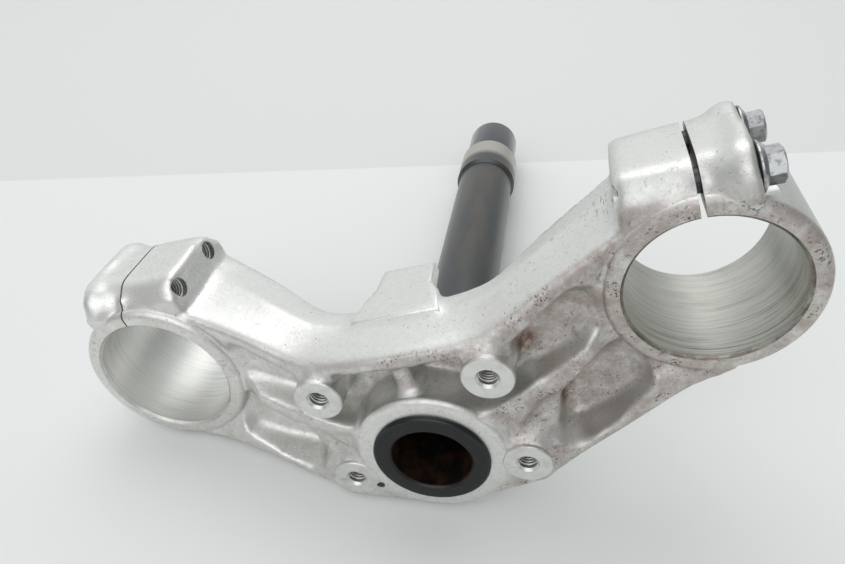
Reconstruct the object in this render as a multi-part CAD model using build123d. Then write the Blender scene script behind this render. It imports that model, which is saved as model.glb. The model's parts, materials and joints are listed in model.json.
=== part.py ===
from build123d import *
import math
import os

os.makedirs("parts", exist_ok=True)

# Lower triple clamp of a motorcycle, in millimetres.
# Build frame: x across the machine, y to its front, z up along the stem.
# z = 0 is the underside of the stem boss, where the four threaded bosses are faced.

# fork clamps
fork_bore = 54.0
fork_spacing = 210.0
fork_offset = 43.1
clamp_bottom = 17.1
clamp_height = 48.3
clamp_wall = 6.6
clamp_round = 3.0
bore_chamfer = 1.0
slit_bolted = 1.7
slit_free = 0.7
relief_depth = 3.0
relief_drop = 4.0
relief_width = 8.0

# pinch lugs and ears, measured from the fork axis and from the clamp's underside
lug_back = 16.0
lug_front = 41.0
lug_inner = 24.0
lug_outer = 10.0
lug_low = 3.0
lug_nose = 9.8
lug_shoulder = 40.0
lug_slope = 8.0
lug_high = 46.6
lug_round = 4.0
lug_end_round = 2.4
ear_outer = 16.0
ear_r = 9.6
ear_neck_r = 7.2
ear_neck_x = 5.0
ear_full_x = 11.5
ear_drop = 1.1
ear_round = 1.5
web_front = 42.0

# pinch bolts
bolt_front = 34.4
bolt_low = 10.4
bolt_pitch = 25.5
bolt_d = 8.0
bolt_clear = 9.0
bolt_tip = 1.5
bolt_hex = 10.0
bolt_hex_h = 4.8
bolt_flange = 15.8
bolt_flange_h = 2.6
bolt_flange_edge = 1.2
bolt_turn = (58.0, 28.0)
seat_margin = 0.8
seat_reach = 15.0

# stem boss and steering stem
boss_r = 29.3
boss_top = 32.0
boss_round = 1.8
press_d = 44.5
press_proud = 1.6
stem_d = 31.8
stem_seat_d = 38.0
stem_seat_h = 16.0
stem_mouth_d = 30.0
stem_mouth_h = 46.0
stem_hole_d = 24.0
top_seat_d = 35.0
top_seat_low = 212.0
top_seat_high = 240.0
stem_tip_d = 31.0
stem_tip_z = 277.0
stem_chamfer = 2.0
stem_edge = 1.0

# threaded bosses on the underside
pad_r = 9.2
front_pad = (31.8, 35.5)
rear_pad = (34.5, -8.0)
pad_root = 22.0
pad_round = 0.9
pad_flare = 5.5
pad_tap = 6.8
pad_tap_depth = 16.0
pad_sink = 8.8
pad_sink_depth = 1.0
pin_hole = (26.1, -13.4)
pin_hole_d = 3.2
pin_hole_depth = 6.0

# casting walls, ribs and pocket floors
land_z = 0.6
land_top = 21.0
land_margin = 1.6
land_lap = 2.0
channel_floor = 18.2
channel_bend = 38.0
channel_rise = 8.0
rear_floor = 23.0
valley_floor = 10.0
terrace_floor = 4.6
upper_floor = 28.5
draft = 4.0
below_all = -4.0
above_all = 70.0
wall_corner = 5.0
valley_corner = 4.2
upper_corner = 6.0
floor_round = 2.0
arm_corner = 7.0
arm_floor_round = 4.0
post_half = 4.0
post_y = (25.5, 45.5)
post_z = (5.0, 21.0)
post_round = 3.0
edge_soft = (2.0, 0.0, 3.0, 3.0, 0.0, 2.6)
corner_step = 0.3

# front tab
tab_half = (17.4, 14.6, 11.5, 10.7)
tab_z = (20.0, 33.4, 39.0, 51.5)
tab_face = 52.5
tab_thick = 5.0

# how the piece lies on a table: turned about the stem, then tipped
lie_roll = 19.142
lie_pitch = 3.251

# worked out from the values above
fork_r = fork_bore / 2
ring_r = fork_r + clamp_wall
clamp_top = clamp_bottom + clamp_height
fork_x = fork_spacing / 2
bolt_y = fork_offset + bolt_front
bolt_z = (clamp_bottom + bolt_low, clamp_bottom + bolt_low + bolt_pitch)
ear_x = fork_x + ear_outer
lug_x = fork_x - lug_inner
past = 1.0


def tube(x, y, r, z0, z1):
    return Pos(x, y, z0) * extrude(Circle(r), z1 - z0)


def bar(y, z, r, x0, x1):
    # a round bar along x
    return Pos(x0, y, z) * (Rot(0, 90, 0) * extrude(Circle(r), x1 - x0))


def turned(profile):
    # a piece turned about the z axis from points (radius, height)
    return revolve(make_face(Polyline(*[(r, 0, z) for r, z in profile], close=True)), Axis.Z)


def soft(corners, sizes):
    # ease each corner of an outline with two flats, where its size says so
    points = []
    count = len(corners)
    for i in range(count):
        here = Vector(*corners[i])
        if sizes[i] == 0:
            points.append(here)
            continue
        to_last = (Vector(*corners[i - 1]) - here).normalized()
        to_next = (Vector(*corners[(i + 1) % count]) - here).normalized()
        points.append(here + to_last * sizes[i])
        points.append(here + (to_last + to_next) * (sizes[i] * corner_step))
        points.append(here + to_next * sizes[i])
    return points


def eased_disc(r, z0, z1, low_round, high_round):
    # a round block whose lower and upper rims are eased
    corners = [(0, z0), (r, z0), (r, z1), (0, z1)]
    return turned([(p.X, p.Y) for p in soft(corners, (0, low_round, high_round, 0))])


def pocket(points, z0, z1, corner, base):
    # a tapered cutter, wide at its open end z0 and narrow at the floor z1
    outline = fillet(Polygon(*points, align=None).vertices(), corner)
    body = Pos(0, 0, z0) * extrude(outline, z1 - z0, taper=draft)
    faces = body.faces().filter_by(Axis.Z).sort_by(Axis.Z)
    floor = faces[-1] if z1 > z0 else faces[0]
    return fillet(floor.edges(), base) if base else body


# beam: a run of sections along x, each as (y, z) of its front edge, parting crease and upper edge,
# then the same three at the rear
beam_half = [
    (17.0, ((48.6, 1.9), (51.0, 20.5), (50.4, 31.5), (-8.0, 31.0), (-8.5, 16.0), (-8.0, 1.9))),
    (34.0, ((48.9, 4.6), (53.8, 22.5), (51.6, 35.5), (-16.2, 34.0), (-18.2, 15.0), (-19.4, 1.0))),
    (50.0, ((55.8, 9.9), (59.7, 29.8), (57.1, 45.9), (-11.0, 41.2), (-13.0, 19.6), (-14.3, 3.6))),
    (66.0, ((63.0, 15.4), (64.6, 40.4), (63.0, 55.7), (-4.6, 49.0), (-6.7, 26.0), (-8.1, 8.4))),
    (82.0, ((69.5, 19.5), (69.8, 51.0), (68.8, 63.0), (1.6, 55.4), (-0.4, 32.0), (-1.9, 13.2))),
    (98.0, ((73.4, 21.6), (73.4, 52.6), (72.6, 63.2), (7.4, 57.4), (5.8, 37.0), (4.4, 16.8))),
    (114.0, ((75.4, 22.6), (75.4, 53.0), (74.6, 63.4), (13.2, 58.4), (12.0, 40.0), (11.0, 19.4))),
]
runs = [(-x, corners) for x, corners in reversed(beam_half)] + beam_half
sections = []
for x, corners in runs:
    section_points = soft([(x, y, z) for y, z in corners], edge_soft)
    sections.append(make_face(Polyline(*section_points, close=True)))
beam = loft(sections)

# underside: the channel in front of the rib, the rear pocket, and the stepped valley at the rear boss
channel = [(-3.0, 14.0), (22.0, 17.0), (29.0, 17.6), (46.0, 24.6), (46.0, 43.6), (-3.0, 43.6)]
channel_arm = [(channel_bend, 21.3), (60.9, 30.6), (71.0, 37.0), (70.8, 52.0), (64.2, 57.8), (channel_bend, 43.3)]
rear_arm = [(45.0, -9.0), (56.0, -7.8), (67.0, -3.6), (84.5, 8.8), (81.0, 30.0), (68.0, 29.4), (50.5, 17.6)]
valley = [(30.0, -3.0), (54.0, -3.0), (54.0, 20.0), (41.5, 16.8), (37.5, 8.0), (30.0, 4.6)]
terrace = [(20.0, 0.0), (42.0, 0.0), (44.0, 17.4), (34.0, 15.2), (20.0, 14.6)]
cuts = [
    pocket(channel, below_all, channel_floor, wall_corner, floor_round),
    pocket(rear_arm, below_all, rear_floor, arm_corner, arm_floor_round),
    pocket(valley, below_all, valley_floor, valley_corner, floor_round),
    pocket(terrace, below_all, terrace_floor, wall_corner, 0),
]

# the channel's floor climbs along the arm, up to the clamp
bend = Location((channel_bend, 0, channel_floor), (0, -channel_rise, 0))
flat_arm = pocket(channel_arm, below_all, channel_floor, arm_corner, arm_floor_round)
cuts.append(bend * Pos(-channel_bend, 0, -channel_floor) * flat_arm)

# upper side of an arm: a pocket between the two walls, open upward
upper_arm = [(42.0, -9.0), (64.0, -4.0), (84.0, 14.0), (84.0, 61.0), (68.0, 59.0), (44.0, 48.5)]
cuts.append(pocket(upper_arm, above_all, upper_floor, upper_corner, 0))

# the arm falls away round the clamp, so that the clamp's rim stands proud of it
relief_r = ring_r + relief_width
relief = turned([
    (0, below_all), (relief_r, below_all), (relief_r, clamp_bottom - relief_drop),
    (ring_r, clamp_bottom + relief_depth), (0, clamp_bottom + relief_depth),
])
cuts.append(Pos(fork_x, fork_offset) * relief)

# land that joins the stem boss to the two rear bosses
land_outline = make_hull([
    *Circle(boss_r - land_z).edges(),
    *(Pos(*rear_pad) * Circle(pad_r + land_margin)).edges(),
    *(Pos(-rear_pad[0], rear_pad[1]) * Circle(pad_r + land_margin)).edges(),
])
land = Pos(0, 0, land_z) * extrude(land_outline, land_top - land_z, dir=(0, 0, 1))
land = split(land, bisect_by=Plane(origin=(0, rear_pad[1] + land_lap, 0), z_dir=(0, -1, 0)))

core = beam + land
for cut in cuts:
    core = core - cut
    core = core - mirror(cut, about=Plane.YZ)

# stem boss, threaded bosses, and the post between the front wall and the boss
pad = eased_disc(pad_r, 0, pad_root, pad_round, 0)
flare_h = valley_floor - pad_round
flare = Pos(0, 0, pad_round + flare_h / 2) * Cone(pad_r, pad_r + pad_flare, flare_h)
flare = split(flare, bisect_by=Plane.XZ, keep=Keep.BOTTOM)
post_size = (2 * post_half, post_y[1] - post_y[0], post_z[1] - post_z[0])
post = Pos(0, post_y[0], post_z[0]) * Box(*post_size, align=(Align.CENTER, Align.MIN, Align.MIN))
post = fillet(post.edges().filter_by(Axis.Y).group_by(Axis.Z)[0], post_round)
core = core + eased_disc(boss_r, 0, boss_top, boss_round, 0) + post
for sx in (-1, 1):
    for px, py in (front_pad, rear_pad):
        core = core + Pos(sx * px, py) * pad
    core = core + Pos(sx * rear_pad[0], rear_pad[1]) * flare

# one split clamp: ring, lug across the slit, outer ear round the two bolts
ring = Pos(fork_x, fork_offset) * eased_disc(ring_r, clamp_bottom, clamp_top, clamp_round, clamp_round)
lug_points = [
    (lug_back, lug_low), (ring_r, lug_low), (lug_front, lug_nose),
    (lug_front, lug_shoulder), (lug_front - lug_slope, lug_high), (lug_back, lug_high),
]
lug_face = make_face(Polyline(*[(lug_x, fork_offset + y, clamp_bottom + z) for y, z in lug_points], close=True))
lug = extrude(lug_face, lug_inner + lug_outer, dir=(1, 0, 0))
lug = fillet(lug.edges().filter_by(Axis.X).sort_by(Axis.Y)[2:], lug_round)
lug_end = lug.faces().filter_by(Axis.X).sort_by(Axis.X)[0]
lug = fillet([e for e in lug_end.edges() if e.center().Y > fork_offset + ring_r], lug_end_round)
web_size = (ear_outer - ear_round, web_front - lug_back, bolt_pitch)
web = Pos(fork_x, fork_offset + lug_back, bolt_z[0]) * Box(*web_size, align=(Align.MIN, Align.MIN, Align.MIN))
ear_points = [
    (ear_neck_x, 0), (ear_neck_x, ear_neck_r), (ear_full_x, ear_r), (ear_outer - ear_round, ear_r),
    (ear_outer, ear_r - ear_round), (ear_outer, 0),
]
ear = revolve(make_face(Polyline(*ear_points, close=True)), Axis.X)
clamp = ring + lug + web
for z in bolt_z:
    clamp = clamp + Pos(fork_x, bolt_y - ear_drop, z) * ear

yoke = core + clamp + mirror(clamp, about=Plane.YZ)

# front tab, faced flat
right_side = list(zip(tab_half, tab_z))
left_side = [(-x, z) for x, z in reversed(right_side)]
tab_front = make_face(Polyline(*[(x, tab_face, z) for x, z in right_side + left_side], close=True))
yoke = yoke + extrude(tab_front, tab_thick, dir=(0, -1, 0))

# bores, slits, bolt holes with their spot faces, and taps
yoke = yoke - tube(0, 0, press_d / 2, -past, boss_top + past)
bore = turned([
    (0, below_all), (fork_r + bore_chamfer, below_all), (fork_r + bore_chamfer, clamp_bottom),
    (fork_r, clamp_bottom + bore_chamfer), (fork_r, clamp_top - bore_chamfer),
    (fork_r + bore_chamfer, clamp_top), (fork_r + bore_chamfer, clamp_top + past), (0, clamp_top + past),
])
pad_hole = turned([
    (0, -past), (pad_sink / 2, -past), (pad_sink / 2, 0), (pad_tap / 2, pad_sink_depth),
    (pad_tap / 2, pad_tap_depth), (0, pad_tap_depth),
])
for sx, slit_width in ((-1, slit_bolted), (1, slit_free)):
    x = sx * fork_x
    yoke = yoke - Pos(x, fork_offset) * bore
    slit = Box(slit_width, lug_front + past, clamp_height + 2 * past, align=(Align.CENTER, Align.MIN, Align.MIN))
    yoke = yoke - Pos(x, fork_offset, clamp_bottom - past) * slit
    for z in bolt_z:
        tap_from, tap_to = sorted((sx * (lug_x - past), x))
        clear_from, clear_to = sorted((x, sx * (ear_x + past)))
        seat_from, seat_to = sorted((sx * ear_x, sx * (ear_x + seat_reach)))
        yoke = yoke - bar(bolt_y, z, bolt_d / 2, tap_from, tap_to)
        yoke = yoke - bar(bolt_y, z, bolt_clear / 2, clear_from, clear_to)
        yoke = yoke - bar(bolt_y, z, bolt_flange / 2 + seat_margin, seat_from, seat_to)
    for px, py in (front_pad, rear_pad):
        yoke = yoke - Pos(sx * px, py) * pad_hole
yoke = yoke - tube(*pin_hole, pin_hole_d / 2, -past, pin_hole_depth)

# steering stem, turned from one tube
press_r = press_d / 2
hole_r = stem_hole_d / 2
mouth_r = stem_mouth_d / 2
tip_r = stem_tip_d / 2
shank_r = stem_d / 2
seat_r = stem_seat_d / 2
top_r = top_seat_d / 2
seat_top = boss_top + stem_seat_h
stem = turned([
    (mouth_r + stem_edge, -press_proud), (press_r - stem_edge, -press_proud), (press_r, stem_edge - press_proud),
    (press_r, boss_top), (seat_r, boss_top), (seat_r, seat_top), (shank_r, seat_top + seat_r - shank_r),
    (shank_r, top_seat_low), (top_r, top_seat_low + top_r - shank_r), (top_r, top_seat_high - stem_edge),
    (top_r - stem_edge, top_seat_high), (tip_r, top_seat_high), (tip_r, stem_tip_z - stem_chamfer),
    (tip_r - stem_chamfer, stem_tip_z), (hole_r + stem_edge, stem_tip_z), (hole_r, stem_tip_z - stem_edge),
    (hole_r, stem_mouth_h), (mouth_r, stem_mouth_h - mouth_r + hole_r), (mouth_r, stem_edge - press_proud),
])

# two flange bolts through the clamp on the left of the machine, heads outward
bolts = []
for z, turn in zip(bolt_z, bolt_turn):
    flange_x = -ear_x - bolt_flange_h
    shank = bar(bolt_y, z, bolt_d / 2, -ear_x, -(lug_x + bolt_tip))
    flange = bar(bolt_y, z, bolt_flange / 2, flange_x, -ear_x)
    flange = chamfer(flange.edges().sort_by(Axis.X)[0], bolt_flange_edge)
    hexagon = RegularPolygon(bolt_hex / 2, 6, major_radius=False, rotation=turn)
    head = Rot(0, 90, 0) * extrude(hexagon, bolt_hex_h + bolt_flange_h)
    bolts.append(shank + flange + Pos(flange_x - bolt_hex_h, bolt_y, z) * head)

# lay the whole as it rests, front upward and stem along the table
roll = math.radians(-lie_roll)
pitch = math.radians(-lie_pitch)
lying = Plane(
    origin=(0, 0, 0),
    x_dir=(-math.cos(roll), -math.sin(roll) * math.sin(pitch), math.sin(roll) * math.cos(pitch)),
    z_dir=(0, math.cos(pitch), math.sin(pitch)),
).location
lain = [yoke.moved(lying), stem.moved(lying), Compound([bolt.moved(lying) for bolt in bolts])]

# set it down on z = 0, with the middle of its box over the origin
box = Compound(lain).bounding_box()
set_down = Location((-box.center().X, -box.center().Y, -box.min.Z))
for name, part in zip(("yoke", "steering_stem", "pinch_bolts"), lain):
    export_step(part.moved(set_down), f"parts/{name}.step")
    print(name, round(part.volume), "mm3", part.is_valid)
print("box", box.min, box.max)
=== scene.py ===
import json
import math

import bmesh
import bpy
import numpy as np
from mathutils import Matrix, Vector
from mathutils.geometry import convex_hull_2d


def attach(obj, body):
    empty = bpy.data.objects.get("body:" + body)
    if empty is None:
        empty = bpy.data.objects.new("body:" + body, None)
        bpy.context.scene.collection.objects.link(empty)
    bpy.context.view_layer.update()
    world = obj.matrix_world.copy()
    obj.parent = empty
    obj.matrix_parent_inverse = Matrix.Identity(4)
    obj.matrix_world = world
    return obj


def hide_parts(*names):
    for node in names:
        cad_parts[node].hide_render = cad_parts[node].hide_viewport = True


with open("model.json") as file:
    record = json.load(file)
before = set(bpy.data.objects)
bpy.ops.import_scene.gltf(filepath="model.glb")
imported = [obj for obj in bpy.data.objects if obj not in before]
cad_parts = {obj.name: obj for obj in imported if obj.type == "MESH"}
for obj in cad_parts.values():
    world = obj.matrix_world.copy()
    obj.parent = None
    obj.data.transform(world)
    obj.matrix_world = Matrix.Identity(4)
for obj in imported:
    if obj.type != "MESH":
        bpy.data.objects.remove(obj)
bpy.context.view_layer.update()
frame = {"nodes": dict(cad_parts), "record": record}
nodes = frame["nodes"]
mounts = {mount["name"]: mount for mount in frame["record"]["mounts"]}
mm = 0.001
sinkDepth = 1.0  # from a boss face to the start of its thread


def mountPoint(name):
    return Vector(mounts[name]["pos_m"])


def findYokeFrame():
    up = Vector(mounts["stem_thread"]["axis"]).normalized()  # along the stem
    across = mountPoint("fork_clamp_right") - mountPoint("fork_clamp_left")
    across = (across - up * across.dot(up)).normalized()
    front = up.cross(across)
    stemPoint = mountPoint("stem_thread")
    thread = mounts["boss_thread_front_left"]["dims"]["length_mm"]
    height = (mountPoint("boss_thread_front_left") - stemPoint).dot(up) - (thread / 2 + sinkDepth) * mm
    turn = Matrix((across, front, up)).transposed().to_4x4()
    return Matrix.Translation(stemPoint + up * height) @ turn


yokeFrame = findYokeFrame()  # x across, y to the front, z up the stem, zero at the faced underside
fromWorld = yokeFrame.inverted()


def inYoke(point):
    return (fromWorld @ Vector(point)) / mm


def onYoke(x, y, z):
    return yokeFrame @ Matrix.Translation(Vector((x, y, z)) * mm)


def alongAcross(x, y, z):
    return onYoke(x, y, z) @ Matrix.Rotation(math.radians(90), 4, "Y")


forkAxis = inYoke(mountPoint("fork_clamp_right"))
forkRadius = mounts["fork_clamp_right"]["dims"]["r_mm"]
frontBoss = inYoke(mountPoint("boss_thread_front_right"))
rearBoss = inYoke(mountPoint("boss_thread_rear_right"))
pinchLow = inYoke(mountPoint("pinch_thread_low_right"))
pinchHigh = inYoke(mountPoint("pinch_thread_high_right"))
print("frame read: fork axis at", [round(v, 1) for v in forkAxis])


# casting: the solid filled up as a rough blank, softened, given its crisp rims, then machined again

casting = {
    "voxel": 1.2,
    "softening": 2,
    "easing": 7,  # rounds of smoothing on the arms' underside
    "lugEasing": 13,
    "crease": (22.0, 32.0, 0.525, 0.07),  # a line that climbs along each arm, the front wall leans back above it
    "filleting": 36,  # rounds that only fill hollow corners
    "bossRadius": 29.3,
    "bossRound": 2.4,
    "bossStep": 0.25,
    "landStep": 0.45,
    "skinLevel": 1.0,  # the rough skin stops here, the faced rims stand below it
    "bossTop": 32.0,
    "padRadius": 9.2,
    "padEdge": 0.4,
    "padRoot": 14.0,
    "pressRadius": 22.25,
    "clampBottom": 17.1,
    "clampTop": 65.4,
    "rimRadius": 33.7,
    "rimRound": 3.0,
    "boreChamfer": 1.0,
    "slitWidth": {-1: 1.7, 1: 0.7},  # the bolted clamp and the free one
    "lugFront": 41.0,
    "lugInner": 24.0,
    "earOuter": 16.0,
    "earNeck": 4.5,
    "earFull": 11.0,
    "earSwell": 11.4,
    "earDrop": 1.1,
    "tapDepth": 16.0,
    "sinkRadius": 4.3,
    "clearRadius": 4.5,
    "bossTap": 3.35,
    "lugTap": 3.8,
    "seatRadius": 8.7,
    "pinHole": (26.1, -13.4, 1.6, 6.0),
    "tabSide": [(17.4, 20.0), (14.6, 33.4), (11.5, 39.0), (10.7, 51.5)],  # half width and height, from the root up
    "tabFace": 52.5,
    "tabThick": 5.0,
    "tabEase": 1.4,
}

# plugs that fill the blank's holes reach a little past them
plugs = {
    "bore": 0.6,
    "slit": 0.4,
    "slitEnds": 3.5,  # the slit's plug stops short of the clamp's ends
    "slitFront": 2.2,
    "hole": 0.3,
    "holeEnd": 0.6,
    "neckWall": 2.7,
    "webBack": 20.0,
    "faceLevel": 0.4,
    "padRoot": 3.0,
    "press": 1.5,
}

# where the skin is eased: each pair fades in from its first value to its second
easing = {
    "offRim": (2.0, 6.0),  # keeps the groove round each clamp
    "lugFrom": (34.0, 37.0),
    "armBelow": (30.0, 24.0),
    "fillOffRim": (0.5, 3.0),
    "share": 0.5,
    "fillShare": 0.6,
    "normalsEvery": 20,
    "wallFacing": (0.5, 0.7),
    "creaseOut": (-4.0, 6.0),
    "creaseOffFork": (37.0, 40.0),
    "creaseDepth": 1.2,
}


# shapes for stock and cutters

def lathe(bm, profile, place, steps=72, faced=0):
    rings = []
    for radius, height in profile:
        if radius == 0:
            rings.append([bm.verts.new(place @ Vector((0, 0, height * mm)))])
            continue
        angles = [2 * math.pi * i / steps for i in range(steps)]
        rings.append([bm.verts.new(place @ (Vector((radius * math.cos(a), radius * math.sin(a), height)) * mm))
                      for a in angles])
    made = []
    for band, (low, high) in enumerate(zip(rings, rings[1:])):
        for i in range(steps):
            j = (i + 1) % steps
            if len(low) == 1:
                corners = (low[0], high[j], high[i])
            elif len(high) == 1:
                corners = (low[i], low[j], high[0])
            else:
                corners = (low[i], low[j], high[j], high[i])
            made.append(bm.faces.new(corners))
            made[-1].material_index = 1 if band < faced else 0  # the first bands take the second finish
            made[-1].smooth = True
    bmesh.ops.recalc_face_normals(bm, faces=made)
    return made


def block(bm, low, high, place):
    corners = [Vector((x, y, z)) * mm for x in (low[0], high[0]) for y in (low[1], high[1]) for z in (low[2], high[2])]
    verts = [bm.verts.new(place @ corner) for corner in corners]
    quads = ((0, 1, 3, 2), (4, 6, 7, 5), (0, 4, 5, 1), (2, 3, 7, 6), (0, 2, 6, 4), (1, 5, 7, 3))
    made = [bm.faces.new([verts[i] for i in quad]) for quad in quads]
    bmesh.ops.recalc_face_normals(bm, faces=made)
    return made


def slab(bm, outline, back):
    front = [bm.verts.new(yokeFrame @ (Vector(point) * mm)) for point in outline]
    rear = [bm.verts.new(yokeFrame @ ((Vector(point) + Vector(back)) * mm)) for point in outline]
    made = [bm.faces.new(front), bm.faces.new(rear[::-1])]
    for i in range(len(outline)):
        j = (i + 1) % len(outline)
        made.append(bm.faces.new((front[i], rear[i], rear[j], front[j])))
    bmesh.ops.recalc_face_normals(bm, faces=made)
    return made


def pieceFrom(bm, name, *materials):
    mesh = bpy.data.meshes.new(name)
    bm.to_mesh(mesh)
    bm.free()
    for material in materials:
        mesh.materials.append(material)
    piece = bpy.data.objects.new(name, mesh)
    bpy.context.scene.collection.objects.link(piece)
    return piece


def settle(piece):
    bpy.context.view_layer.update()
    made = bpy.data.meshes.new_from_object(piece.evaluated_get(bpy.context.evaluated_depsgraph_get()))
    piece.modifiers.clear()
    piece.data = made
    return piece


# finishes: every pattern is laid out in the yoke's own frame, in millimetres

def put(tree, kind, inputs=None, **settings):
    node = tree.nodes.new(kind)
    for key, value in settings.items():
        setattr(node, key, value)
    for key, value in (inputs or {}).items():
        if isinstance(value, bpy.types.NodeSocket):
            tree.links.new(value, node.inputs[key])
        else:
            node.inputs[key].default_value = value
    return node


def startFinish(name, colour, roughness, metallic=1.0):
    material = bpy.data.materials.new(name)
    material.use_nodes = True
    shader = material.node_tree.nodes["Principled BSDF"]
    shader.inputs["Base Color"].default_value = (*colour, 1)
    shader.inputs["Roughness"].default_value = roughness
    shader.inputs["Metallic"].default_value = metallic
    return material, material.node_tree, shader


def yokeCoords(tree):
    turn, shift = fromWorld.to_euler(), fromWorld.translation / mm
    place = put(tree, "ShaderNodeTexCoord").outputs["Object"]
    return put(tree, "ShaderNodeMapping", {"Vector": place, "Location": shift, "Rotation": turn,
                                           "Scale": (1 / mm, 1 / mm, 1 / mm)}).outputs["Vector"]


def stretch(tree, coords, scale):
    return put(tree, "ShaderNodeVectorMath", {0: coords, 1: scale}, operation="MULTIPLY").outputs[0]


def noise(tree, coords, scale, detail=3.0, rough=0.5):
    return put(tree, "ShaderNodeTexNoise", {"Vector": coords, "Scale": scale, "Detail": detail,
                                            "Roughness": rough}).outputs["Fac"]


def fade(tree, value, low, high, toLow=0.0, toHigh=1.0):
    return put(tree, "ShaderNodeMapRange", {"Value": value, "From Min": low, "From Max": high, "To Min": toLow,
                                            "To Max": toHigh}, interpolation_type="SMOOTHSTEP").outputs["Result"]


def sums(tree, operation, a, b=0.0):
    return put(tree, "ShaderNodeMath", {0: a, 1: b}, operation=operation).outputs[0]


def product(tree, first, *others):
    for other in others:
        first = sums(tree, "MULTIPLY", first, other)
    return first


def pattern(tree, coords, scale, detail, rough, *fading):
    return fade(tree, noise(tree, coords, scale, detail, rough), *fading)


def fromAxis(tree, coords):
    flat = stretch(tree, coords, (1, 1, 0))
    return put(tree, "ShaderNodeVectorMath", {0: flat}, operation="LENGTH").outputs["Value"]


def awayFrom(tree, coords, place):
    return put(tree, "ShaderNodeVectorMath", {0: coords, 1: place}, operation="DISTANCE").outputs["Value"]


def mix(tree, share, a, b):
    node = put(tree, "ShaderNodeMix", data_type="RGBA")
    for index, value in ((0, share), (6, a), (7, b)):
        if isinstance(value, bpy.types.NodeSocket):
            tree.links.new(value, node.inputs[index])
        else:
            node.inputs[index].default_value = value if index == 0 else (*value, 1)
    return node.outputs[2]


def grain(tree, shader, height, strength, distance):
    bump = put(tree, "ShaderNodeBump", {"Height": height, "Strength": strength, "Distance": distance * mm})
    tree.links.new(bump.outputs["Normal"], shader.inputs["Normal"])


# a pattern is a noise's scale, detail and roughness, then where it fades in and between which values

castLook = {
    "clean": (0.73, 0.735, 0.71),
    "dull": (0.59, 0.58, 0.55),
    # bright is a painted sheen: the lighter colour on the cleaner arm and round the stem boss
    "bright": (0.87, 0.87, 0.85),
    # the stain colour is partly a real pink stain, partly painted shade on faces turned down, away from the light
    "stain": (0.43, 0.352, 0.328),
    # the colour the hollow corners darken to
    "grime": (0.30, 0.27, 0.245),
    "pit": (0.09, 0.07, 0.06),
    "brown": (0.20, 0.115, 0.085),
    "browned": (((-50.8, 7.5, 19.0), 7.5), ((-43.5, 35.2, 17.8), 6.5)),  # brown patches, and how far each reaches
    "scratched": ((-77.6, 68.4, 39.9), 9.0, 3.0),  # a scratched place, and how it fades out
    "usedSpan": (90.0, -70.0, 0.3, 1.0),  # one arm is more worn than the other, and the cleaner arm gets a painted sheen
    "pocketLevel": 18.0,  # pits gather on the rims and lands below this height
    "mottle": (0.45, 8.0, 0.78, 0.36, 0.68),
    "spread": (0.14, 9.0, 0.78, 0.28, 0.64),
    "blotch": (0.3, 5.0, 0.7, 0.36, 0.56, 0.2, 0.9),
    "patches": (0.055, 4.0, 0.5, 0.38, 0.55),
    "spots": (0.62, 6.0, 0.76, 0.575, 0.64),
    "clusters": (0.13, 2.0, 0.5, 0.56, 0.64),
    "crumbs": (1.25, 1.0, 0.5, 0.55, 0.64),
    "specks": (1.1, 2.0, 0.5, 0.70, 0.74),
    "lines": (1.0, 3.0, 0.6, 0.55, 0.62),
    "lineStretch": (1.5, 0.5, 0.14),
    "skin": (1.7, 4.0, 0.62),
    "roughness": 0.33,
    "shine": 0.07,  # how much smoother the cleaner arm is
}


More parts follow.
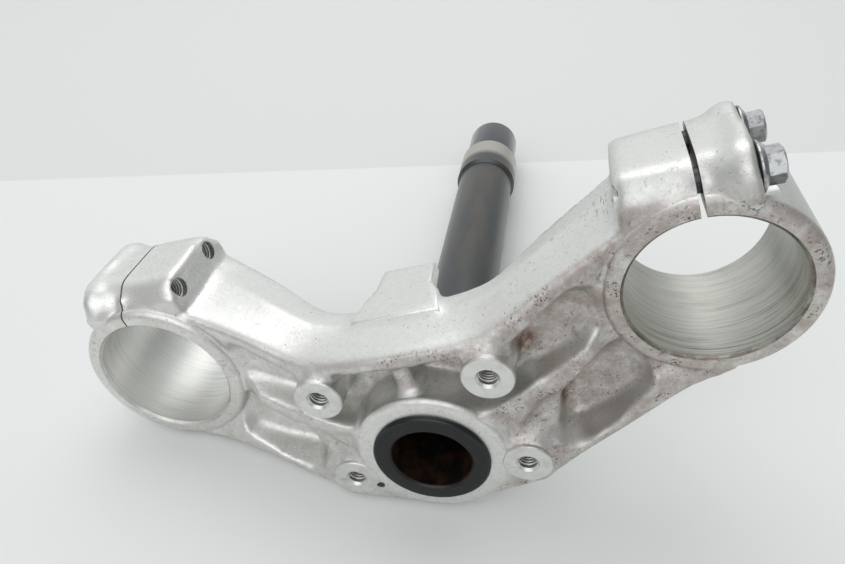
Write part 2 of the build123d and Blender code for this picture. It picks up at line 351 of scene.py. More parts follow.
def makeCastFinish():
    look = castLook
    material, tree, shader = startFinish("castAluminium", look["clean"], look["roughness"])
    coords = yokeCoords(tree)
    spot = put(tree, "ShaderNodeSeparateXYZ", {"Vector": coords}).outputs
    boss, tabWide = casting["bossRadius"], casting["tabSide"][0][0]

    # how far a place lies under the arms, off the lugs, the stem boss and the tab
    belowLugs = fade(tree, spot["Y"], forkAxis.y + 37, forkAxis.y + 30, 0.15, 1.0)
    offBoss = fade(tree, fromAxis(tree, coords), boss - 3, boss + 4, 0.2, 1.0)
    besideTab = sums(tree, "GREATER_THAN", sums(tree, "ABSOLUTE", spot["X"]), tabWide + 1)
    offTab = sums(tree, "MAXIMUM", besideTab, sums(tree, "LESS_THAN", spot["Y"], casting["tabFace"] - 2.2))
    normal = put(tree, "ShaderNodeNewGeometry").outputs["Normal"]
    down = put(tree, "ShaderNodeVectorMath", {0: normal, 1: -yokeFrame.to_3x3().col[2]},
               operation="DOT_PRODUCT").outputs["Value"]
    under = product(tree, fade(tree, down, 0.1, 0.85), belowLugs, offTab, offBoss)
    wearAndSheen = fade(tree, spot["X"], *look["usedSpan"])

    # stains, partly painted shade on the downward faces, darker hollows and brown patches
    mottle = pattern(tree, coords, *look["mottle"])
    # painted sheen: the cleaner arm and the stem boss take the lighter colour in place of the reflections they catch
    clean = mix(tree, product(tree, wearAndSheen, offBoss), look["bright"], look["clean"])
    colour = mix(tree, product(tree, mottle, 0.36), clean, look["dull"])
    # partly a real stain, partly painted shade: downward faces, turned away from the light, take the darker pink colour
    stainedAndShaded = product(tree, pattern(tree, coords, *look["spread"]), under, wearAndSheen)
    colour = mix(tree, product(tree, stainedAndShaded, 0.85), colour, look["stain"])
    hollow = put(tree, "ShaderNodeAttribute", attribute_name="hollow").outputs["Fac"]
    # darker in the hollow corners, more on the worn arm
    hollowDarkening = product(tree, fade(tree, hollow, 0.10, 0.6), fade(tree, mottle, 0.2, 0.9, 0.35, 1.0))
    colour = mix(tree, product(tree, hollowDarkening, wearAndSheen, 0.55), colour, look["grime"])
    blotch = pattern(tree, coords, *look["blotch"])
    for place, reach in look["browned"]:
        near = fade(tree, awayFrom(tree, coords, place), reach, reach * 0.3)
        colour = mix(tree, product(tree, blotch, near), colour, look["brown"])

    # pits, specks and scratches
    pits = product(tree, pattern(tree, coords, *look["spots"]), pattern(tree, coords, *look["patches"]),
                   sums(tree, "MAXIMUM", under, 0.38))
    low = fade(tree, spot["Z"], look["pocketLevel"], look["pocketLevel"] - 0.6)
    gathered = product(tree, pattern(tree, coords, *look["clusters"]), low,
                       pattern(tree, coords, *look["crumbs"]), under)
    pits = product(tree, sums(tree, "MAXIMUM", pits, gathered), wearAndSheen)
    pits = sums(tree, "MAXIMUM", pits, product(tree, pattern(tree, coords, *look["specks"]), 0.8))
    place, far, near = look["scratched"]
    lines = pattern(tree, stretch(tree, coords, look["lineStretch"]), *look["lines"])
    pits = sums(tree, "MAXIMUM", pits, product(tree, lines, fade(tree, awayFrom(tree, coords, place), far, near)))
    colour = mix(tree, product(tree, pits, 0.85), colour, look["pit"])
    tree.links.new(colour, shader.inputs["Base Color"])

    dry = sums(tree, "ADD", product(tree, stainedAndShaded, 0.16), product(tree, mottle, 0.10))
    shine = fade(tree, wearAndSheen, 1.0, 0.3, 0.0, look["shine"])
    tree.links.new(sums(tree, "ADD", sums(tree, "SUBTRACT", dry, shine), look["roughness"]), shader.inputs["Roughness"])
    grain(tree, shader, sums(tree, "ADD", noise(tree, coords, *look["skin"]), product(tree, pits, -0.8)), 0.22, 0.4)
    return material


boreLook = {
    "light": (0.58, 0.58, 0.535),
    "dark": (0.36, 0.36, 0.325),
    "fresh": (0.82, 0.82, 0.79),  # the free clamp is the cleaner one, and its lighter colour is partly a painted sheen for the bright light its bore reflects
    "freshMarks": (0.66, 0.66, 0.63),
    "scratch": (0.12, 0.115, 0.10),
    "edge": (0.16, 0.125, 0.10),
    "tilt": (5.0, 3.0, 0.0),
    "ringStretch": (0.03, 0.03, 0.9),  # long marks round the bore
    "rings": (1.0, 8.0, 0.78),
    "worn": (0.06, 4.0, 0.5, 0.35, 0.65),
    "scratchStretch": (0.02, 0.02, 1.7),
    "scratches": (1.0, 5.0, 0.7, 0.54, 0.61),
    "scratchReach": 30.0,  # how far the scratches go in from the mouth
    "edgeDirt": (0.2, 6.0, 0.7, 0.36, 0.62, 0.35, 0.95),
    "edgeHeight": 2.4,  # how far the dirty edge reaches into the bore
    "roughness": 0.44,
}


def makeBoreFinish():
    look = boreLook
    material, tree, shader = startFinish("machinedBore", look["light"], look["roughness"])
    coords = yokeCoords(tree)
    spot = put(tree, "ShaderNodeSeparateXYZ", {"Vector": coords}).outputs
    along, fresh = spot["Z"], sums(tree, "GREATER_THAN", spot["X"], 0.0)
    tilt = [math.radians(v) for v in look["tilt"]]
    tilted = put(tree, "ShaderNodeMapping", {"Vector": coords, "Rotation": tilt}).outputs["Vector"]
    rings = noise(tree, stretch(tree, tilted, look["ringStretch"]), *look["rings"])
    worn = sums(tree, "ADD", product(tree, pattern(tree, coords, *look["worn"]), 0.6), 0.4)
    marks = product(tree, fade(tree, rings, 0.40, 0.68), worn)
    # the free clamp's bore: cleaner, and painted lighter as a sheen in place of the light it reflects
    plain = mix(tree, fresh, look["light"], look["fresh"])
    colour = mix(tree, marks, plain, mix(tree, fresh, look["dark"], look["freshMarks"]))
    low = casting["clampBottom"]
    scratches = pattern(tree, stretch(tree, tilted, look["scratchStretch"]), *look["scratches"])
    nearMouth = fade(tree, along, low + look["scratchReach"], low + 4, 0.12, 0.8)
    colour = mix(tree, product(tree, scratches, nearMouth, sums(tree, "SUBTRACT", 1.0, fresh)), colour, look["scratch"])
    edge = product(tree, fade(tree, along, low + look["edgeHeight"], low), pattern(tree, coords, *look["edgeDirt"]),
                   sums(tree, "SUBTRACT", 1.0, product(tree, fresh, 0.6)))
    tree.links.new(mix(tree, edge, colour, look["edge"]), shader.inputs["Base Color"])
    grain(tree, shader, rings, 0.10, 0.2)
    return material


facedLook = {
    "colour": (0.77, 0.775, 0.755),
    "worn": (0.64, 0.63, 0.605),
    "cloud": (0.14, 7.0, 0.7, 0.40, 0.70),
    "skin": (1.6, 3.0, 0.5),
    "roughness": 0.36,
}


def makeFacedFinish():
    look = facedLook
    material, tree, shader = startFinish("facedMetal", look["colour"], look["roughness"])
    coords = yokeCoords(tree)
    cloud = pattern(tree, coords, *look["cloud"])
    tree.links.new(mix(tree, cloud, look["colour"], look["worn"]), shader.inputs["Base Color"])
    grain(tree, shader, noise(tree, coords, *look["skin"]), 0.10, 0.2)
    return material


stemLook = {
    "oxide": (0.095, 0.103, 0.104),
    "tint": (0.125, 0.118, 0.106),
    "ground": (0.46, 0.44, 0.41),
    "black": (0.045, 0.047, 0.051),
    "tip": (0.085, 0.089, 0.099),
    "face": (0.040, 0.043, 0.041),
    # the near-black here is painted shade deep in the tube, under its real rust
    "soot": (0.022, 0.019, 0.018),
    "rust": (0.085, 0.042, 0.022),
    "groundFrom": 224.0,
    "groundTo": 239.5,
    "groundFade": 4.0,
    "rimTop": 0.6,  # the pressed rim lies below this
    "mouthRadius": 15.3,
    "mouthTop": 60.0,
    "holeRadius": 12.4,
    "faceRadius": 20.9,
    "cloudStretch": (1, 1, 0.3),
    "cloud": (0.09, 4.0, 0.5, 0.4, 0.7),
    "rusty": (0.13, 6.0, 0.7, 0.42, 0.66),
    "roughness": 0.3,
}


def makeStemFinish():
    look = stemLook
    material, tree, shader = startFinish("darkSteel", look["oxide"], look["roughness"])
    coords = yokeCoords(tree)
    along = put(tree, "ShaderNodeSeparateXYZ", {"Vector": coords}).outputs["Z"]
    radius = fromAxis(tree, coords)

    def within(value, limit):
        return sums(tree, "LESS_THAN", value, limit)

    cloud = pattern(tree, stretch(tree, coords, look["cloudStretch"]), *look["cloud"])
    colour = mix(tree, cloud, look["oxide"], look["tint"])
    start, soft = look["groundFrom"], look["groundFade"]
    band = product(tree, fade(tree, along, start - soft, start + soft), within(along, look["groundTo"]))
    colour = mix(tree, band, colour, look["ground"])
    tip = sums(tree, "GREATER_THAN", along, look["groundTo"])
    rim = within(along, look["rimTop"])
    colour = mix(tree, tip, mix(tree, rim, colour, look["black"]), look["tip"])
    face = product(tree, rim, within(radius, look["faceRadius"]))
    colour = mix(tree, face, colour, look["face"])
    inMouth = product(tree, within(radius, look["mouthRadius"]), within(along, look["mouthTop"]))
    inside = sums(tree, "MAXIMUM", inMouth, within(radius, look["holeRadius"]))
    hollow = product(tree, inside, sums(tree, "GREATER_THAN", along, -1.0))
    rusty = pattern(tree, coords, *look["rusty"])
    # inside the tube: real rust patches over a near-black painted shade of the deep hole
    colour = mix(tree, hollow, colour, mix(tree, rusty, look["soot"], look["rust"]))
    tree.links.new(colour, shader.inputs["Base Color"])
    glossy = sums(tree, "MAXIMUM", tip, sums(tree, "SUBTRACT", rim, face))
    matt = sums(tree, "ADD", product(tree, hollow, 0.45), product(tree, glossy, -0.17))
    tree.links.new(sums(tree, "ADD", matt, look["roughness"]), shader.inputs["Roughness"])
    return material


boltLook = {
    "zinc": (0.48, 0.49, 0.50),
    "worn": (0.24, 0.243, 0.245),
    # shank is near black: painted shade for the gap under the flange and inside the slit
    "shank": (0.07, 0.07, 0.072),
    "wear": (0.45, 6.0, 0.7, 0.45, 0.66),
    "skin": (0.9, 4.0, 0.5),
    "underFlange": 0.5,  # height of the painted shadow band where the flange meets the clamp
    "roughness": 0.24,
}


def makeBoltFinish():
    look = boltLook
    material, tree, shader = startFinish("platedSteel", look["zinc"], look["roughness"])
    coords = yokeCoords(tree)
    across = put(tree, "ShaderNodeSeparateXYZ", {"Vector": coords}).outputs["X"]
    colour = mix(tree, pattern(tree, coords, *look["wear"]), look["zinc"], look["worn"])
    flangeFrom = -forkAxis.x - casting["earOuter"] - look["underFlange"]
    # painted shadow: the flange's last half millimetre and the whole shank go near black
    colour = mix(tree, fade(tree, across, flangeFrom - 0.15, flangeFrom + 0.15), colour, look["shank"])
    tree.links.new(colour, shader.inputs["Base Color"])
    grain(tree, shader, noise(tree, coords, *look["skin"]), 0.10, 0.3)
    return material


castFinish = makeCastFinish()
rimFinish = bpy.data.materials.new("castRim")  # only marks the added rims until their edges are set
boreFinish = makeBoreFinish()
facedFinish = makeFacedFinish()
stemFinish = makeStemFinish()
boltFinish = makeBoltFinish()
print("finishes made")


def bossPlaces():
    return [(side * boss[0], boss[1]) for side in (-1, 1) for boss in (frontBoss, rearBoss)]


def makeBlank():
    c, p = casting, plugs
    bm = bmesh.new()
    bm.from_mesh(nodes["yoke"].data)
    bmesh.ops.remove_doubles(bm, verts=bm.verts, dist=1e-6)
    for side in (-1, 1):
        place = onYoke(side * forkAxis.x, forkAxis.y, 0)
        wide = forkRadius + c["boreChamfer"] + p["bore"]
        low, high = c["clampBottom"], c["clampTop"]
        lathe(bm, [(0, low), (wide, low), (wide, high), (0, high)], place)
        half, inset = c["slitWidth"][side] / 2 + p["slit"], p["slitEnds"]
        block(bm, (-half, forkRadius - 1, low + inset), (half, c["lugFront"] - p["slitFront"], high - inset), place)
        for hole in (pinchLow, pinchHigh):
            wide, inner = c["clearRadius"] + p["hole"], -c["lugInner"] + p["holeEnd"]
            plug = [(0, inner), (wide, inner), (wide, c["earOuter"]), (0, c["earOuter"])]
            if side < 0:
                plug = [(r, -h) for r, h in reversed(plug)]
            swell = [(0, c["earNeck"]), (c["clearRadius"] + p["neckWall"], c["earNeck"]),
                     (c["earSwell"], c["earFull"]), (c["earSwell"], c["earOuter"]), (0, c["earOuter"])]
            if side < 0:
                swell = [(r, -h) for r, h in reversed(swell)]
            lathe(bm, plug, alongAcross(side * forkAxis.x, hole.y, hole.z), 24)
            lathe(bm, swell, alongAcross(side * forkAxis.x, hole.y - c["earDrop"], hole.z), 48)
        ends = sorted((side * c["earFull"], side * c["earOuter"]))
        front = pinchLow.y - forkAxis.y - c["earDrop"] + c["earSwell"]
        # one hump joins the two ears
        block(bm, (ends[0], p["webBack"], pinchLow.z), (ends[1], front, pinchHigh.z), place)
    level = p["faceLevel"]
    for x, y in bossPlaces():
        wide, deep = c["padRadius"] - c["padEdge"], c["padRoot"] + p["padRoot"]
        lathe(bm, [(0, level), (wide, level), (wide, deep), (0, deep)], onYoke(x, y, 0), 48)
    wide = c["pressRadius"] + p["press"]
    lathe(bm, [(0, level), (wide, level), (wide, c["bossTop"]), (0, c["bossTop"])], yokeFrame)
    blank = pieceFrom(bm, "casting", castFinish)
    remesh = blank.modifiers.new("blank", "REMESH")
    remesh.mode = "VOXEL"
    remesh.voxel_size = c["voxel"] * mm
    soften = blank.modifiers.new("soften", "SMOOTH")
    soften.factor = 0.5
    soften.iterations = c["softening"]
    return settle(blank)


def readMesh(mesh):
    places = np.empty(len(mesh.vertices) * 3)
    mesh.vertices.foreach_get("co", places)
    ends = np.empty(len(mesh.edges) * 2, int)
    mesh.edges.foreach_get("vertices", ends)
    ends = ends.reshape(-1, 2)
    return places.reshape(-1, 3) / mm, np.concatenate((ends, ends[:, ::-1]))


def readNormals(mesh):
    normals = np.empty(len(mesh.vertices) * 3)
    mesh.vertex_normals.foreach_get("vector", normals)
    return normals.reshape(-1, 3)


def around(places, links):
    count = len(places)
    neighbours = np.maximum(np.bincount(links[:, 0], minlength=count), 1)
    return np.stack([np.bincount(links[:, 0], places[links[:, 1], k], count) / neighbours for k in range(3)], 1)


def ramp(values, low, high):
    return np.clip((values - low) / (high - low), 0, 1)


def easeCasting(mesh):
    c, e, rim = casting, easing, casting["rimRadius"]
    places, links = readMesh(mesh)
    turn = np.array(fromWorld.to_3x3())
    spots = places @ turn.T + np.array(fromWorld.translation) / mm
    fromFork = np.hypot(np.abs(spots[:, 0]) - forkAxis.x, spots[:, 1] - forkAxis.y)
    arm = ramp(fromFork, *(rim + v for v in e["offRim"])) * ramp(spots[:, 2], *e["armBelow"])
    lug = ramp(spots[:, 1], *(forkAxis.y + v for v in e["lugFrom"]))
    for share, rounds in ((arm, c["easing"]), (lug, c["lugEasing"])):
        for _ in range(rounds):
            places += e["share"] * share[:, None] * (around(places, links) - places)
    fill = ramp(fromFork, *(rim + v for v in e["fillOffRim"]))
    for step in range(c["filleting"]):
        if step % e["normalsEvery"] == 0:
            mesh.vertices.foreach_set("co", (places * mm).ravel())
            mesh.update()
            normals = readNormals(mesh)
        outward = ((around(places, links) - places) * normals).sum(1)
        places += normals * (e["fillShare"] * fill * np.maximum(outward, 0))[:, None]
    heights = places @ turn[2] + fromWorld.translation.z / mm
    low, start, climb, lean = c["crease"]
    outward = np.abs(spots[:, 0]) - start
    above = np.maximum(heights - low - climb * outward, 0)
    wall = ramp(readNormals(mesh) @ turn[1], *e["wallFacing"]) * ramp(outward, *e["creaseOut"])
    wall = wall * ramp(fromFork, *e["creaseOffFork"])
    places -= turn[1] * (np.minimum(lean * above, e["creaseDepth"]) * wall)[:, None]
    places += turn[2] * np.maximum(c["skinLevel"] - heights, 0)[:, None]
    mesh.vertices.foreach_set("co", (places * mm).ravel())
    mesh.update()


def makeRims():
    c = casting
    low, high, wide, ease = c["clampBottom"], c["clampTop"], c["rimRadius"], c["rimRound"]
    bend = [math.radians(15 * i) for i in range(7)]
    rim = [(0, low)] + [(wide - ease + ease * math.sin(a), low + ease - ease * math.cos(a)) for a in bend]
    rim += [(wide - ease + ease * math.cos(a), high - ease + ease * math.sin(a)) for a in bend] + [(0, high)]
    rims = []

    def addRim(name, build):
        bm = bmesh.new()
        build(bm)
        rims.append(pieceFrom(bm, name, rimFinish, facedFinish))

    for side in (-1, 1):
        addRim("clampRim", lambda bm: lathe(bm, rim, onYoke(side * forkAxis.x, forkAxis.y, 0), 144))
    wide, ease, step = c["bossRadius"], c["bossRound"], c["bossStep"]
    boss = [(0, step)] + [(wide - ease + ease * math.sin(a), step + ease - ease * math.cos(a)) for a in bend]
    addRim("stemBoss", lambda bm: lathe(bm, boss + [(wide, 8), (0, 8)], yokeFrame, 144))
    wide, ease, root = c["padRadius"], c["padEdge"], c["padRoot"]
    pad = [(0, 0), (wide - ease, 0), (wide, ease), (wide, root), (0, root)]
    for x, y in bossPlaces():
        addRim("pad", lambda bm: lathe(bm, pad, onYoke(x, y, 0), 64, 1))
    bend = [math.radians(10 * i) for i in range(36)]
    discs = [(0, 0, c["bossRadius"] - c["bossRound"])] + [(side * rearBoss.x, rearBoss.y, wide + 1) for side in (-1, 1)]
    rim = [(x + r * math.cos(a), y + r * math.sin(a)) for x, y, r in discs for a in bend]
    rim = [spot for spot in rim if spot[1] < rearBoss.y + 2]
    land = [(*rim[i], c["landStep"]) for i in convex_hull_2d(rim)]
    addRim("rearLand", lambda bm: slab(bm, land, (0, 0, 8)))
    right = [(x, c["tabFace"], z) for x, z in c["tabSide"]]
    tab = right + [(-x, y, z) for x, y, z in reversed(right)]

    def frontTab(bm):
        face = slab(bm, tab, (0, -c["tabThick"], 0))[0]
        bmesh.ops.bevel(bm, geom=face.edges[:], offset=c["tabEase"] * mm, segments=3, profile=0.5, affect="EDGES")

    addRim("frontTab", frontTab)
    return rims


def makeCutters():
    c = casting
    cutters = []

    def cutter(name, finish, build):
        bm = bmesh.new()
        build(bm)
        cutters.append(pieceFrom(bm, name, finish))

    press = c["pressRadius"]
    cutter("pressBore", facedFinish, lambda bm: lathe(bm, [(0, -5), (press, -5), (press, 60), (0, 60)], yokeFrame, 96))
    low, high, lead = c["clampBottom"], c["clampTop"], c["boreChamfer"]
    bore = [(0, low - 4), (forkRadius + lead + 4, low - 4), (forkRadius, low + lead), (forkRadius, high - lead),
            (forkRadius + lead + 4, high + 4), (0, high + 4)]
    for side in (-1, 1):
        place = onYoke(side * forkAxis.x, forkAxis.y, 0)
        cutter("forkBore", boreFinish, lambda bm: lathe(bm, bore, place, 144))
        half = c["slitWidth"][side] / 2
        ends = (-half, 0, low - 5), (half, c["lugFront"] + 5, high + 5)
        cutter("slit", boreFinish, lambda bm: block(bm, *ends, place))
        for hole in (pinchLow, pinchHigh):
            across = alongAcross(side * forkAxis.x, hole.y, hole.z)
            tap = [(0, -c["lugInner"] - 3), (c["lugTap"], -c["lugInner"] - 3), (c["lugTap"], 0),
                   (c["clearRadius"], 0), (c["clearRadius"], c["earOuter"]), (c["seatRadius"], c["earOuter"]),
                   (c["seatRadius"], c["earOuter"] + 12), (0, c["earOuter"] + 12)]
            if side < 0:
                tap = [(r, -h) for r, h in reversed(tap)]
            cutter("pinchHole", facedFinish, lambda bm: lathe(bm, tap, across, 48))
    sink, tap, deep = c["sinkRadius"], c["bossTap"], c["tapDepth"]
    hole = [(0, -3), (sink + 3, -3), (sink, 0), (tap, sink - tap), (tap, deep), (0, deep)]
    for x, y in bossPlaces():
        cutter("bossTap", facedFinish, lambda bm: lathe(bm, hole, onYoke(x, y, 0), 48))
    x, y, radius, deep = c["pinHole"]
    cutter("pinHole", facedFinish,
           lambda bm: lathe(bm, [(0, -3), (radius, -3), (radius, deep), (0, deep)], onYoke(x, y, 0), 24))
    return cutters


def machine(blank, rims, cutters):
    for tool in rims + cutters:
        cut = blank.modifiers.new(tool.name, "BOOLEAN")
        cut.operation = "UNION" if tool in rims else "DIFFERENCE"
        cut.solver = "MANIFOLD"
        cut.material_mode = "TRANSFER"
        cut.object = tool
    settle(blank)
    for tool in rims + cutters:
        bpy.data.objects.remove(tool)
    return blank


def markEdges(mesh, cast, rim):
    bm = bmesh.new()
    bm.from_mesh(mesh)
    for face in bm.faces:
        face.smooth = True
    for edge in bm.edges:
        a, b = (face.material_index for face in edge.link_faces)
        turn = edge.calc_face_angle(0)
        edge.smooth = turn < math.radians(12 if a != b else 40) or a == b == cast
    for face in bm.faces:
        if face.material_index == rim:
            face.material_index = cast
    bm.to_mesh(mesh)
    bm.free()
    mesh.materials.pop(index=rim)


threads = {"pitch": 1.25, "ridge": 0.48, "start": 1.8, "bossLength": 12.5, "lugLength": 21.0, "steps": 20}


def makeThreadTree():
    tree = bpy.data.node_groups.new("threadRidges", "GeometryNodeTree")
    tree.interface.new_socket("Mouths", in_out="INPUT", socket_type="NodeSocketGeometry")
    for name in ("Radius", "Length", "Turns", "Ridge"):
        tree.interface.new_socket(name, in_out="INPUT", socket_type="NodeSocketFloat")
    tree.interface.new_socket("Finish", in_out="INPUT", socket_type="NodeSocketMaterial")
    tree.interface.new_socket("Threads", in_out="OUTPUT", socket_type="NodeSocketGeometry")
    given = put(tree, "NodeGroupInput").outputs
    spiral = put(tree, "GeometryNodeCurveSpiral", {"Resolution": threads["steps"], "Rotations": given["Turns"],
                                                   "Start Radius": given["Radius"], "End Radius": given["Radius"],
                                                   "Height": given["Length"]})
    upright = put(tree, "GeometryNodeSetCurveNormal", {"Curve": spiral.outputs["Curve"]}, mode="Z_UP")
    ridge = put(tree, "GeometryNodeCurvePrimitiveCircle", {"Resolution": 4, "Radius": given["Ridge"]})
    sweep = put(tree, "GeometryNodeCurveToMesh", {"Curve": upright.outputs["Curve"],
                                                  "Profile Curve": ridge.outputs["Curve"], "Fill Caps": True})
    axis = put(tree, "GeometryNodeInputNamedAttribute", {"Name": "axis"}, data_type="FLOAT_VECTOR").outputs["Attribute"]
    turn = put(tree, "FunctionNodeAlignRotationToVector", {"Vector": axis}, axis="Z")
    placed = put(tree, "GeometryNodeInstanceOnPoints", {"Points": given["Mouths"], "Instance": sweep.outputs["Mesh"],
                                                        "Rotation": turn.outputs["Rotation"]})
    real = put(tree, "GeometryNodeRealizeInstances", {"Geometry": placed.outputs["Instances"]})
    done = put(tree, "GeometryNodeSetMaterial", {"Geometry": real.outputs["Geometry"], "Material": given["Finish"]})
    put(tree, "NodeGroupOutput", {0: done.outputs["Geometry"]})
    return tree


def makeThreads(name, mouths, axis, radius, length):
    mesh = bpy.data.meshes.new(name)
    mesh.from_pydata([yokeFrame @ (Vector(mouth) * mm) for mouth in mouths], [], [])
    way = yokeFrame.to_3x3() @ Vector(axis)
    mesh.attributes.new("axis", "FLOAT_VECTOR", "POINT").data.foreach_set("vector", list(way) * len(mouths))
    piece = bpy.data.objects.new(name, mesh)
    bpy.context.scene.collection.objects.link(piece)
    run = piece.modifiers.new("threads", "NODES")
    run.node_group = threadTree
    sockets = {item.name: item.identifier for item in threadTree.interface.items_tree if item.in_out == "INPUT"}
    run[sockets["Radius"]] = radius * mm
    run[sockets["Length"]] = length * mm
    run[sockets["Turns"]] = length / threads["pitch"]
    run[sockets["Ridge"]] = threads["ridge"] * mm
    run[sockets["Finish"]] = facedFinish
    return settle(piece)


def absorb(piece, extra):
    slotOf = {material.name: i for i, material in enumerate(piece.data.materials)}
    bm = bmesh.new()
    bm.from_mesh(piece.data)
    own = len(bm.faces)
    bm.from_mesh(extra.data)
    bm.faces.ensure_lookup_table()
    for face in bm.faces[own:]:
        face.material_index = slotOf[facedFinish.name]
    bm.to_mesh(piece.data)
    bm.free()
    bpy.data.objects.remove(extra)


def markHollows(mesh, rounds=40, reach=2.5):
    places, links = readMesh(mesh)
    eased = places
    for _ in range(rounds):
        eased = around(eased, links)
    depth = ((eased - places) * readNormals(mesh)).sum(1) / reach
    mesh.attributes.new("hollow", "FLOAT", "POINT").data.foreach_set("value", np.clip(depth, -1, 1))


yokePiece = makeBlank()
easeCasting(yokePiece.data)
print("casting blank:", len(yokePiece.data.polygons), "faces")
yokePiece = machine(yokePiece, makeRims(), makeCutters())
yokePiece.name = "yokeCasting"
finishNames = [material.name for material in yokePiece.data.materials]
markEdges(yokePiece.data, finishNames.index(castFinish.name), finishNames.index(rimFinish.name))
print("casting machined:", len(yokePiece.data.polygons), "faces")

threadTree = makeThreadTree()
bossMouths = [(x, y, threads["start"]) for x, y in bossPlaces()]
lugMouths = [(forkAxis.x - casting["lugInner"] + threads["start"], hole.y, hole.z) for hole in (pinchLow, pinchHigh)]
absorb(yokePiece, makeThreads("bossThreads", bossMouths, (0, 0, 1), casting["bossTap"], threads["bossLength"]))
absorb(yokePiece, makeThreads("lugThreads", lugMouths, (1, 0, 0), casting["lugTap"], threads["lugLength"]))
markHollows(yokePiece.data)
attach(yokePiece, "root")
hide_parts("yoke")
yokePiece.data.calc_loop_triangles()
print("threads cut:", len(yokePiece.data.loop_triangles), "triangles in the casting")

# bolts: flange, chamfered hexagon and shank, with the heads outward on the bolted clamp

bolts = {
    "shankRadius": 4.0,
    "tipIn": 1.5,
    "flangeRadius": 7.9,
    "flangeHeight": 2.6,
    "hexAcross": 10.0,
    "hexHeight": 4.8,
    "hexEase": 0.75,
    "turns": (58.0, 28.0),
}


def makeBolt(bm, hole, turn):
    b = bolts
    place = alongAcross(-forkAxis.x, hole.y, hole.z)
    seat, tip = -casting["earOuter"], casting["lugInner"] - b["tipIn"]
    top = seat - b["flangeHeight"]
    end = top - b["hexHeight"]
    flat, point = b["hexAcross"] / 2, b["hexAcross"] / math.sqrt(3)
    wide, shank = b["flangeRadius"], b["shankRadius"]
    body = [(0, top), (flat, top), (flat + 0.7, top + 0.15), (wide - 0.5, top + 1.2), (wide, top + 1.6),
            (wide, seat - 0.35), (wide - 0.35, seat), (shank, seat), (shank, tip - 0.8), (shank - 0.8, tip), (0, tip)]
    lathe(bm, body, place, 48)
    levels = [(flat, point, top + 0.5, top + 0.5), (flat, point, end + 0.25, end + b["hexEase"]),
              (flat - 0.35, flat - 0.35, end, end), (flat - 1.3, flat - 1.3, end, end),
              (flat - 1.8, flat - 1.8, end + 0.35, end + 0.35)]
    rings = []
    for mid, far, midLevel, farLevel in levels:
        ring = []
        for i in range(12):
            angle = math.radians(turn + 30 * i)
            radius, level = (mid, midLevel) if i % 2 else (far, farLevel)
            corner = Vector((radius * math.cos(angle), radius * math.sin(angle), level)) * mm
            ring.append(bm.verts.new(place @ corner))
        rings.append(ring)
    made = [bm.faces.new(rings[0]), bm.faces.new(rings[-1])]
    for low, high in zip(rings, rings[1:]):
        made += [bm.faces.new((low[i], low[(i + 1) % 12], high[(i + 1) % 12], high[i])) for i in range(12)]
    bmesh.ops.recalc_face_normals(bm, faces=made)


def makeBolts():
    bm = bmesh.new()
    for hole, turn in zip((pinchLow, pinchHigh), bolts["turns"]):
        makeBolt(bm, hole, turn)
    piece = pieceFrom(bm, "pinchBolts", boltFinish)
    piece.data.set_sharp_from_angle(angle=math.radians(24))
    return piece


boltPiece = makeBolts()
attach(boltPiece, "root")
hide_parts("pinch_bolts")

# stem: one turned tube, its wide end pressed into the boss and its tip rounded over

stem = {
    "press": (22.25, -1.6, 32.0),  # radius, then from and to along the stem
    "pressRound": 1.3,
    "mouth": (15.0, 43.0),
    "hole": (12.0, 46.0),
    "lowSeat": (19.0, 48.0),
    "shaft": 15.9,
    "topSeat": (17.5, 212.0, 240.0),
    "tip": (15.5, 277.0),
    "tipRound": 6.0,
    "tipDrop": 0.7,  # how far the hole's edge lies below the end
    "edge": 1.0,
}


def makeStem():
    s = stem
    edge, ease, tipEase = s["edge"], s["pressRound"], s["tipRound"]
    wide, low, top = s["press"]
    seat, seatTop = s["lowSeat"]
    upper, upperLow, upperHigh = s["topSeat"]
    tip, tipEnd = s["tip"]
    mouth, mouthEnd = s["mouth"]
    hole, holeFrom = s["hole"]
    bend = [math.radians(15 * i) for i in range(7)]
    profile = [(mouth + edge, low)]
    profile += [(wide - ease + ease * math.sin(a), low + ease - ease * math.cos(a)) for a in bend]
    profile += [(wide, top), (seat, top), (seat, seatTop), (s["shaft"], seatTop + seat - s["shaft"])]
    profile += [(s["shaft"], upperLow), (upper, upperLow + upper - s["shaft"])]
    profile += [(upper, upperHigh - edge), (upper - edge, upperHigh), (tip, upperHigh)]
    dome = [(tip - tipEase + tipEase * math.cos(a), tipEnd - tipEase + tipEase * math.sin(a)) for a in bend]
    profile += [spot for spot in dome if spot[0] > hole + edge]
    tipEdge = tipEnd - s["tipDrop"]
    profile += [(hole + edge, tipEdge), (hole, tipEdge - edge), (hole, holeFrom)]
    profile += [(mouth, mouthEnd), (mouth, low + edge)]
    bm = bmesh.new()
    lathe(bm, profile + profile[:1], yokeFrame, 96)
    bmesh.ops.remove_doubles(bm, verts=bm.verts, dist=1e-6)
    bmesh.ops.recalc_face_normals(bm, faces=bm.faces)
    piece = pieceFrom(bm, "steeringStem", stemFinish)
    piece.data.set_sharp_from_angle(angle=math.radians(24))
    return piece


stemPiece = makeStem()
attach(stemPiece, "root")
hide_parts("steering_stem")
print("bolts and stem made")


# stage, light and camera

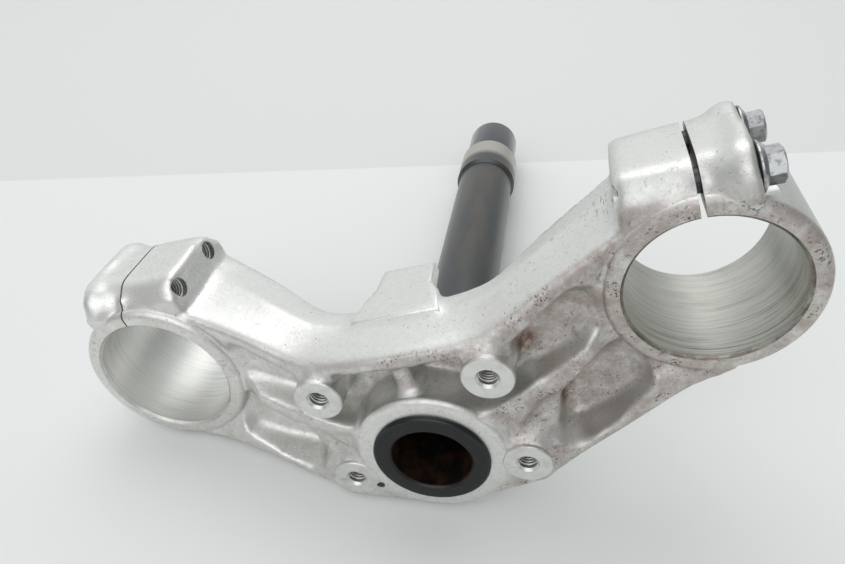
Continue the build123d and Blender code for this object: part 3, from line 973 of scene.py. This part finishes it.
stage = {
    "tableColour": (0.875, 0.89, 0.875),
    "farColour": (0.79, 0.80, 0.785),
    "farFrom": 128.0,  # where the far board starts, in millimetres from the middle
    "farTurn": 12.2,
    "roomLevel": 0.38,
    "farWall": ((-0.45, 0.82, 0.35), 0.10, 0.92, 0.50),  # where it lies, how it fades in, and how bright it is
    "nearWall": ((0.0, -0.95, 0.25), 0.40, 0.95, 0.16),
    "lamps": ((-0.14, -0.62, 0.77), 0.74, 0.97, 0.95),
    "softboxPower": 2.8,
    "softboxSize": 0.9,
    "softboxPlace": (-0.10, 0.45, 1.1),
}
camera = {
    "place": (-89.43, 183.17, -158.87),  # in the yoke's own frame
    "right": (-0.92988, -0.32746, 0.16762),
    "forward": (0.32592, -0.52202, 0.78821),
    "lens": 28.63,
}


def makeTableFinish():
    material, tree, shader = startFinish("paleTable", stage["tableColour"], 0.5, 0.0)
    turn = math.radians(-stage["farTurn"])
    place = put(tree, "ShaderNodeTexCoord").outputs["Object"]
    coords = put(tree, "ShaderNodeMapping", {"Vector": place, "Rotation": (0, 0, turn)}).outputs["Vector"]
    back = put(tree, "ShaderNodeSeparateXYZ", {"Vector": coords}).outputs["Y"]
    far = fade(tree, back, (stage["farFrom"] - 1) * mm, (stage["farFrom"] + 1) * mm)
    tree.links.new(mix(tree, far, stage["tableColour"], stage["farColour"]), shader.inputs["Base Color"])
    return material


def makeStage():
    bm = bmesh.new()
    bmesh.ops.create_grid(bm, x_segments=1, y_segments=1, size=12)
    table = pieceFrom(bm, "table", makeTableFinish())
    world = bpy.data.worlds.new("room")
    bpy.context.scene.world = world
    world.use_nodes = True
    tree = world.node_tree
    toward = put(tree, "ShaderNodeTexCoord").outputs["Generated"]
    level = stage["roomLevel"]
    for way, low, high, bright in (stage["farWall"], stage["nearWall"], stage["lamps"]):
        near = put(tree, "ShaderNodeVectorMath", {0: toward, 1: Vector(way).normalized()}, operation="DOT_PRODUCT")
        level = sums(tree, "ADD", fade(tree, near.outputs["Value"], low, high, 0.0, bright), level)
    tree.nodes["Background"].inputs["Color"].default_value = (0.97, 0.99, 1.0, 1)
    tree.links.new(level, tree.nodes["Background"].inputs["Strength"])
    light = bpy.data.lights.new("softbox", "AREA")
    light.energy = stage["softboxPower"]
    light.size = stage["softboxSize"]
    lamp = bpy.data.objects.new("softbox", light)
    lamp.location = stage["softboxPlace"]
    lamp.rotation_euler = (-lamp.location).to_track_quat("-Z", "Y").to_euler()
    bpy.context.scene.collection.objects.link(lamp)


def makeCamera():
    turn = yokeFrame.to_3x3()
    right = (turn @ Vector(camera["right"])).normalized()
    back = -(turn @ Vector(camera["forward"])).normalized()
    right = (right - back * right.dot(back)).normalized()
    lens = bpy.data.cameras.new("photoCamera")
    lens.lens = camera["lens"]
    lens.sensor_width = 36
    lens.clip_start = 0.005
    eye = bpy.data.objects.new("photoCamera", lens)
    aim = Matrix((right, back.cross(right), back)).transposed().to_4x4()
    eye.matrix_world = Matrix.Translation(yokeFrame @ (Vector(camera["place"]) * mm)) @ aim
    bpy.context.scene.collection.objects.link(eye)
    bpy.context.scene.camera = eye


makeStage()
makeCamera()
bpy.context.scene.view_settings.view_transform = "Standard"
print("stage and camera set")
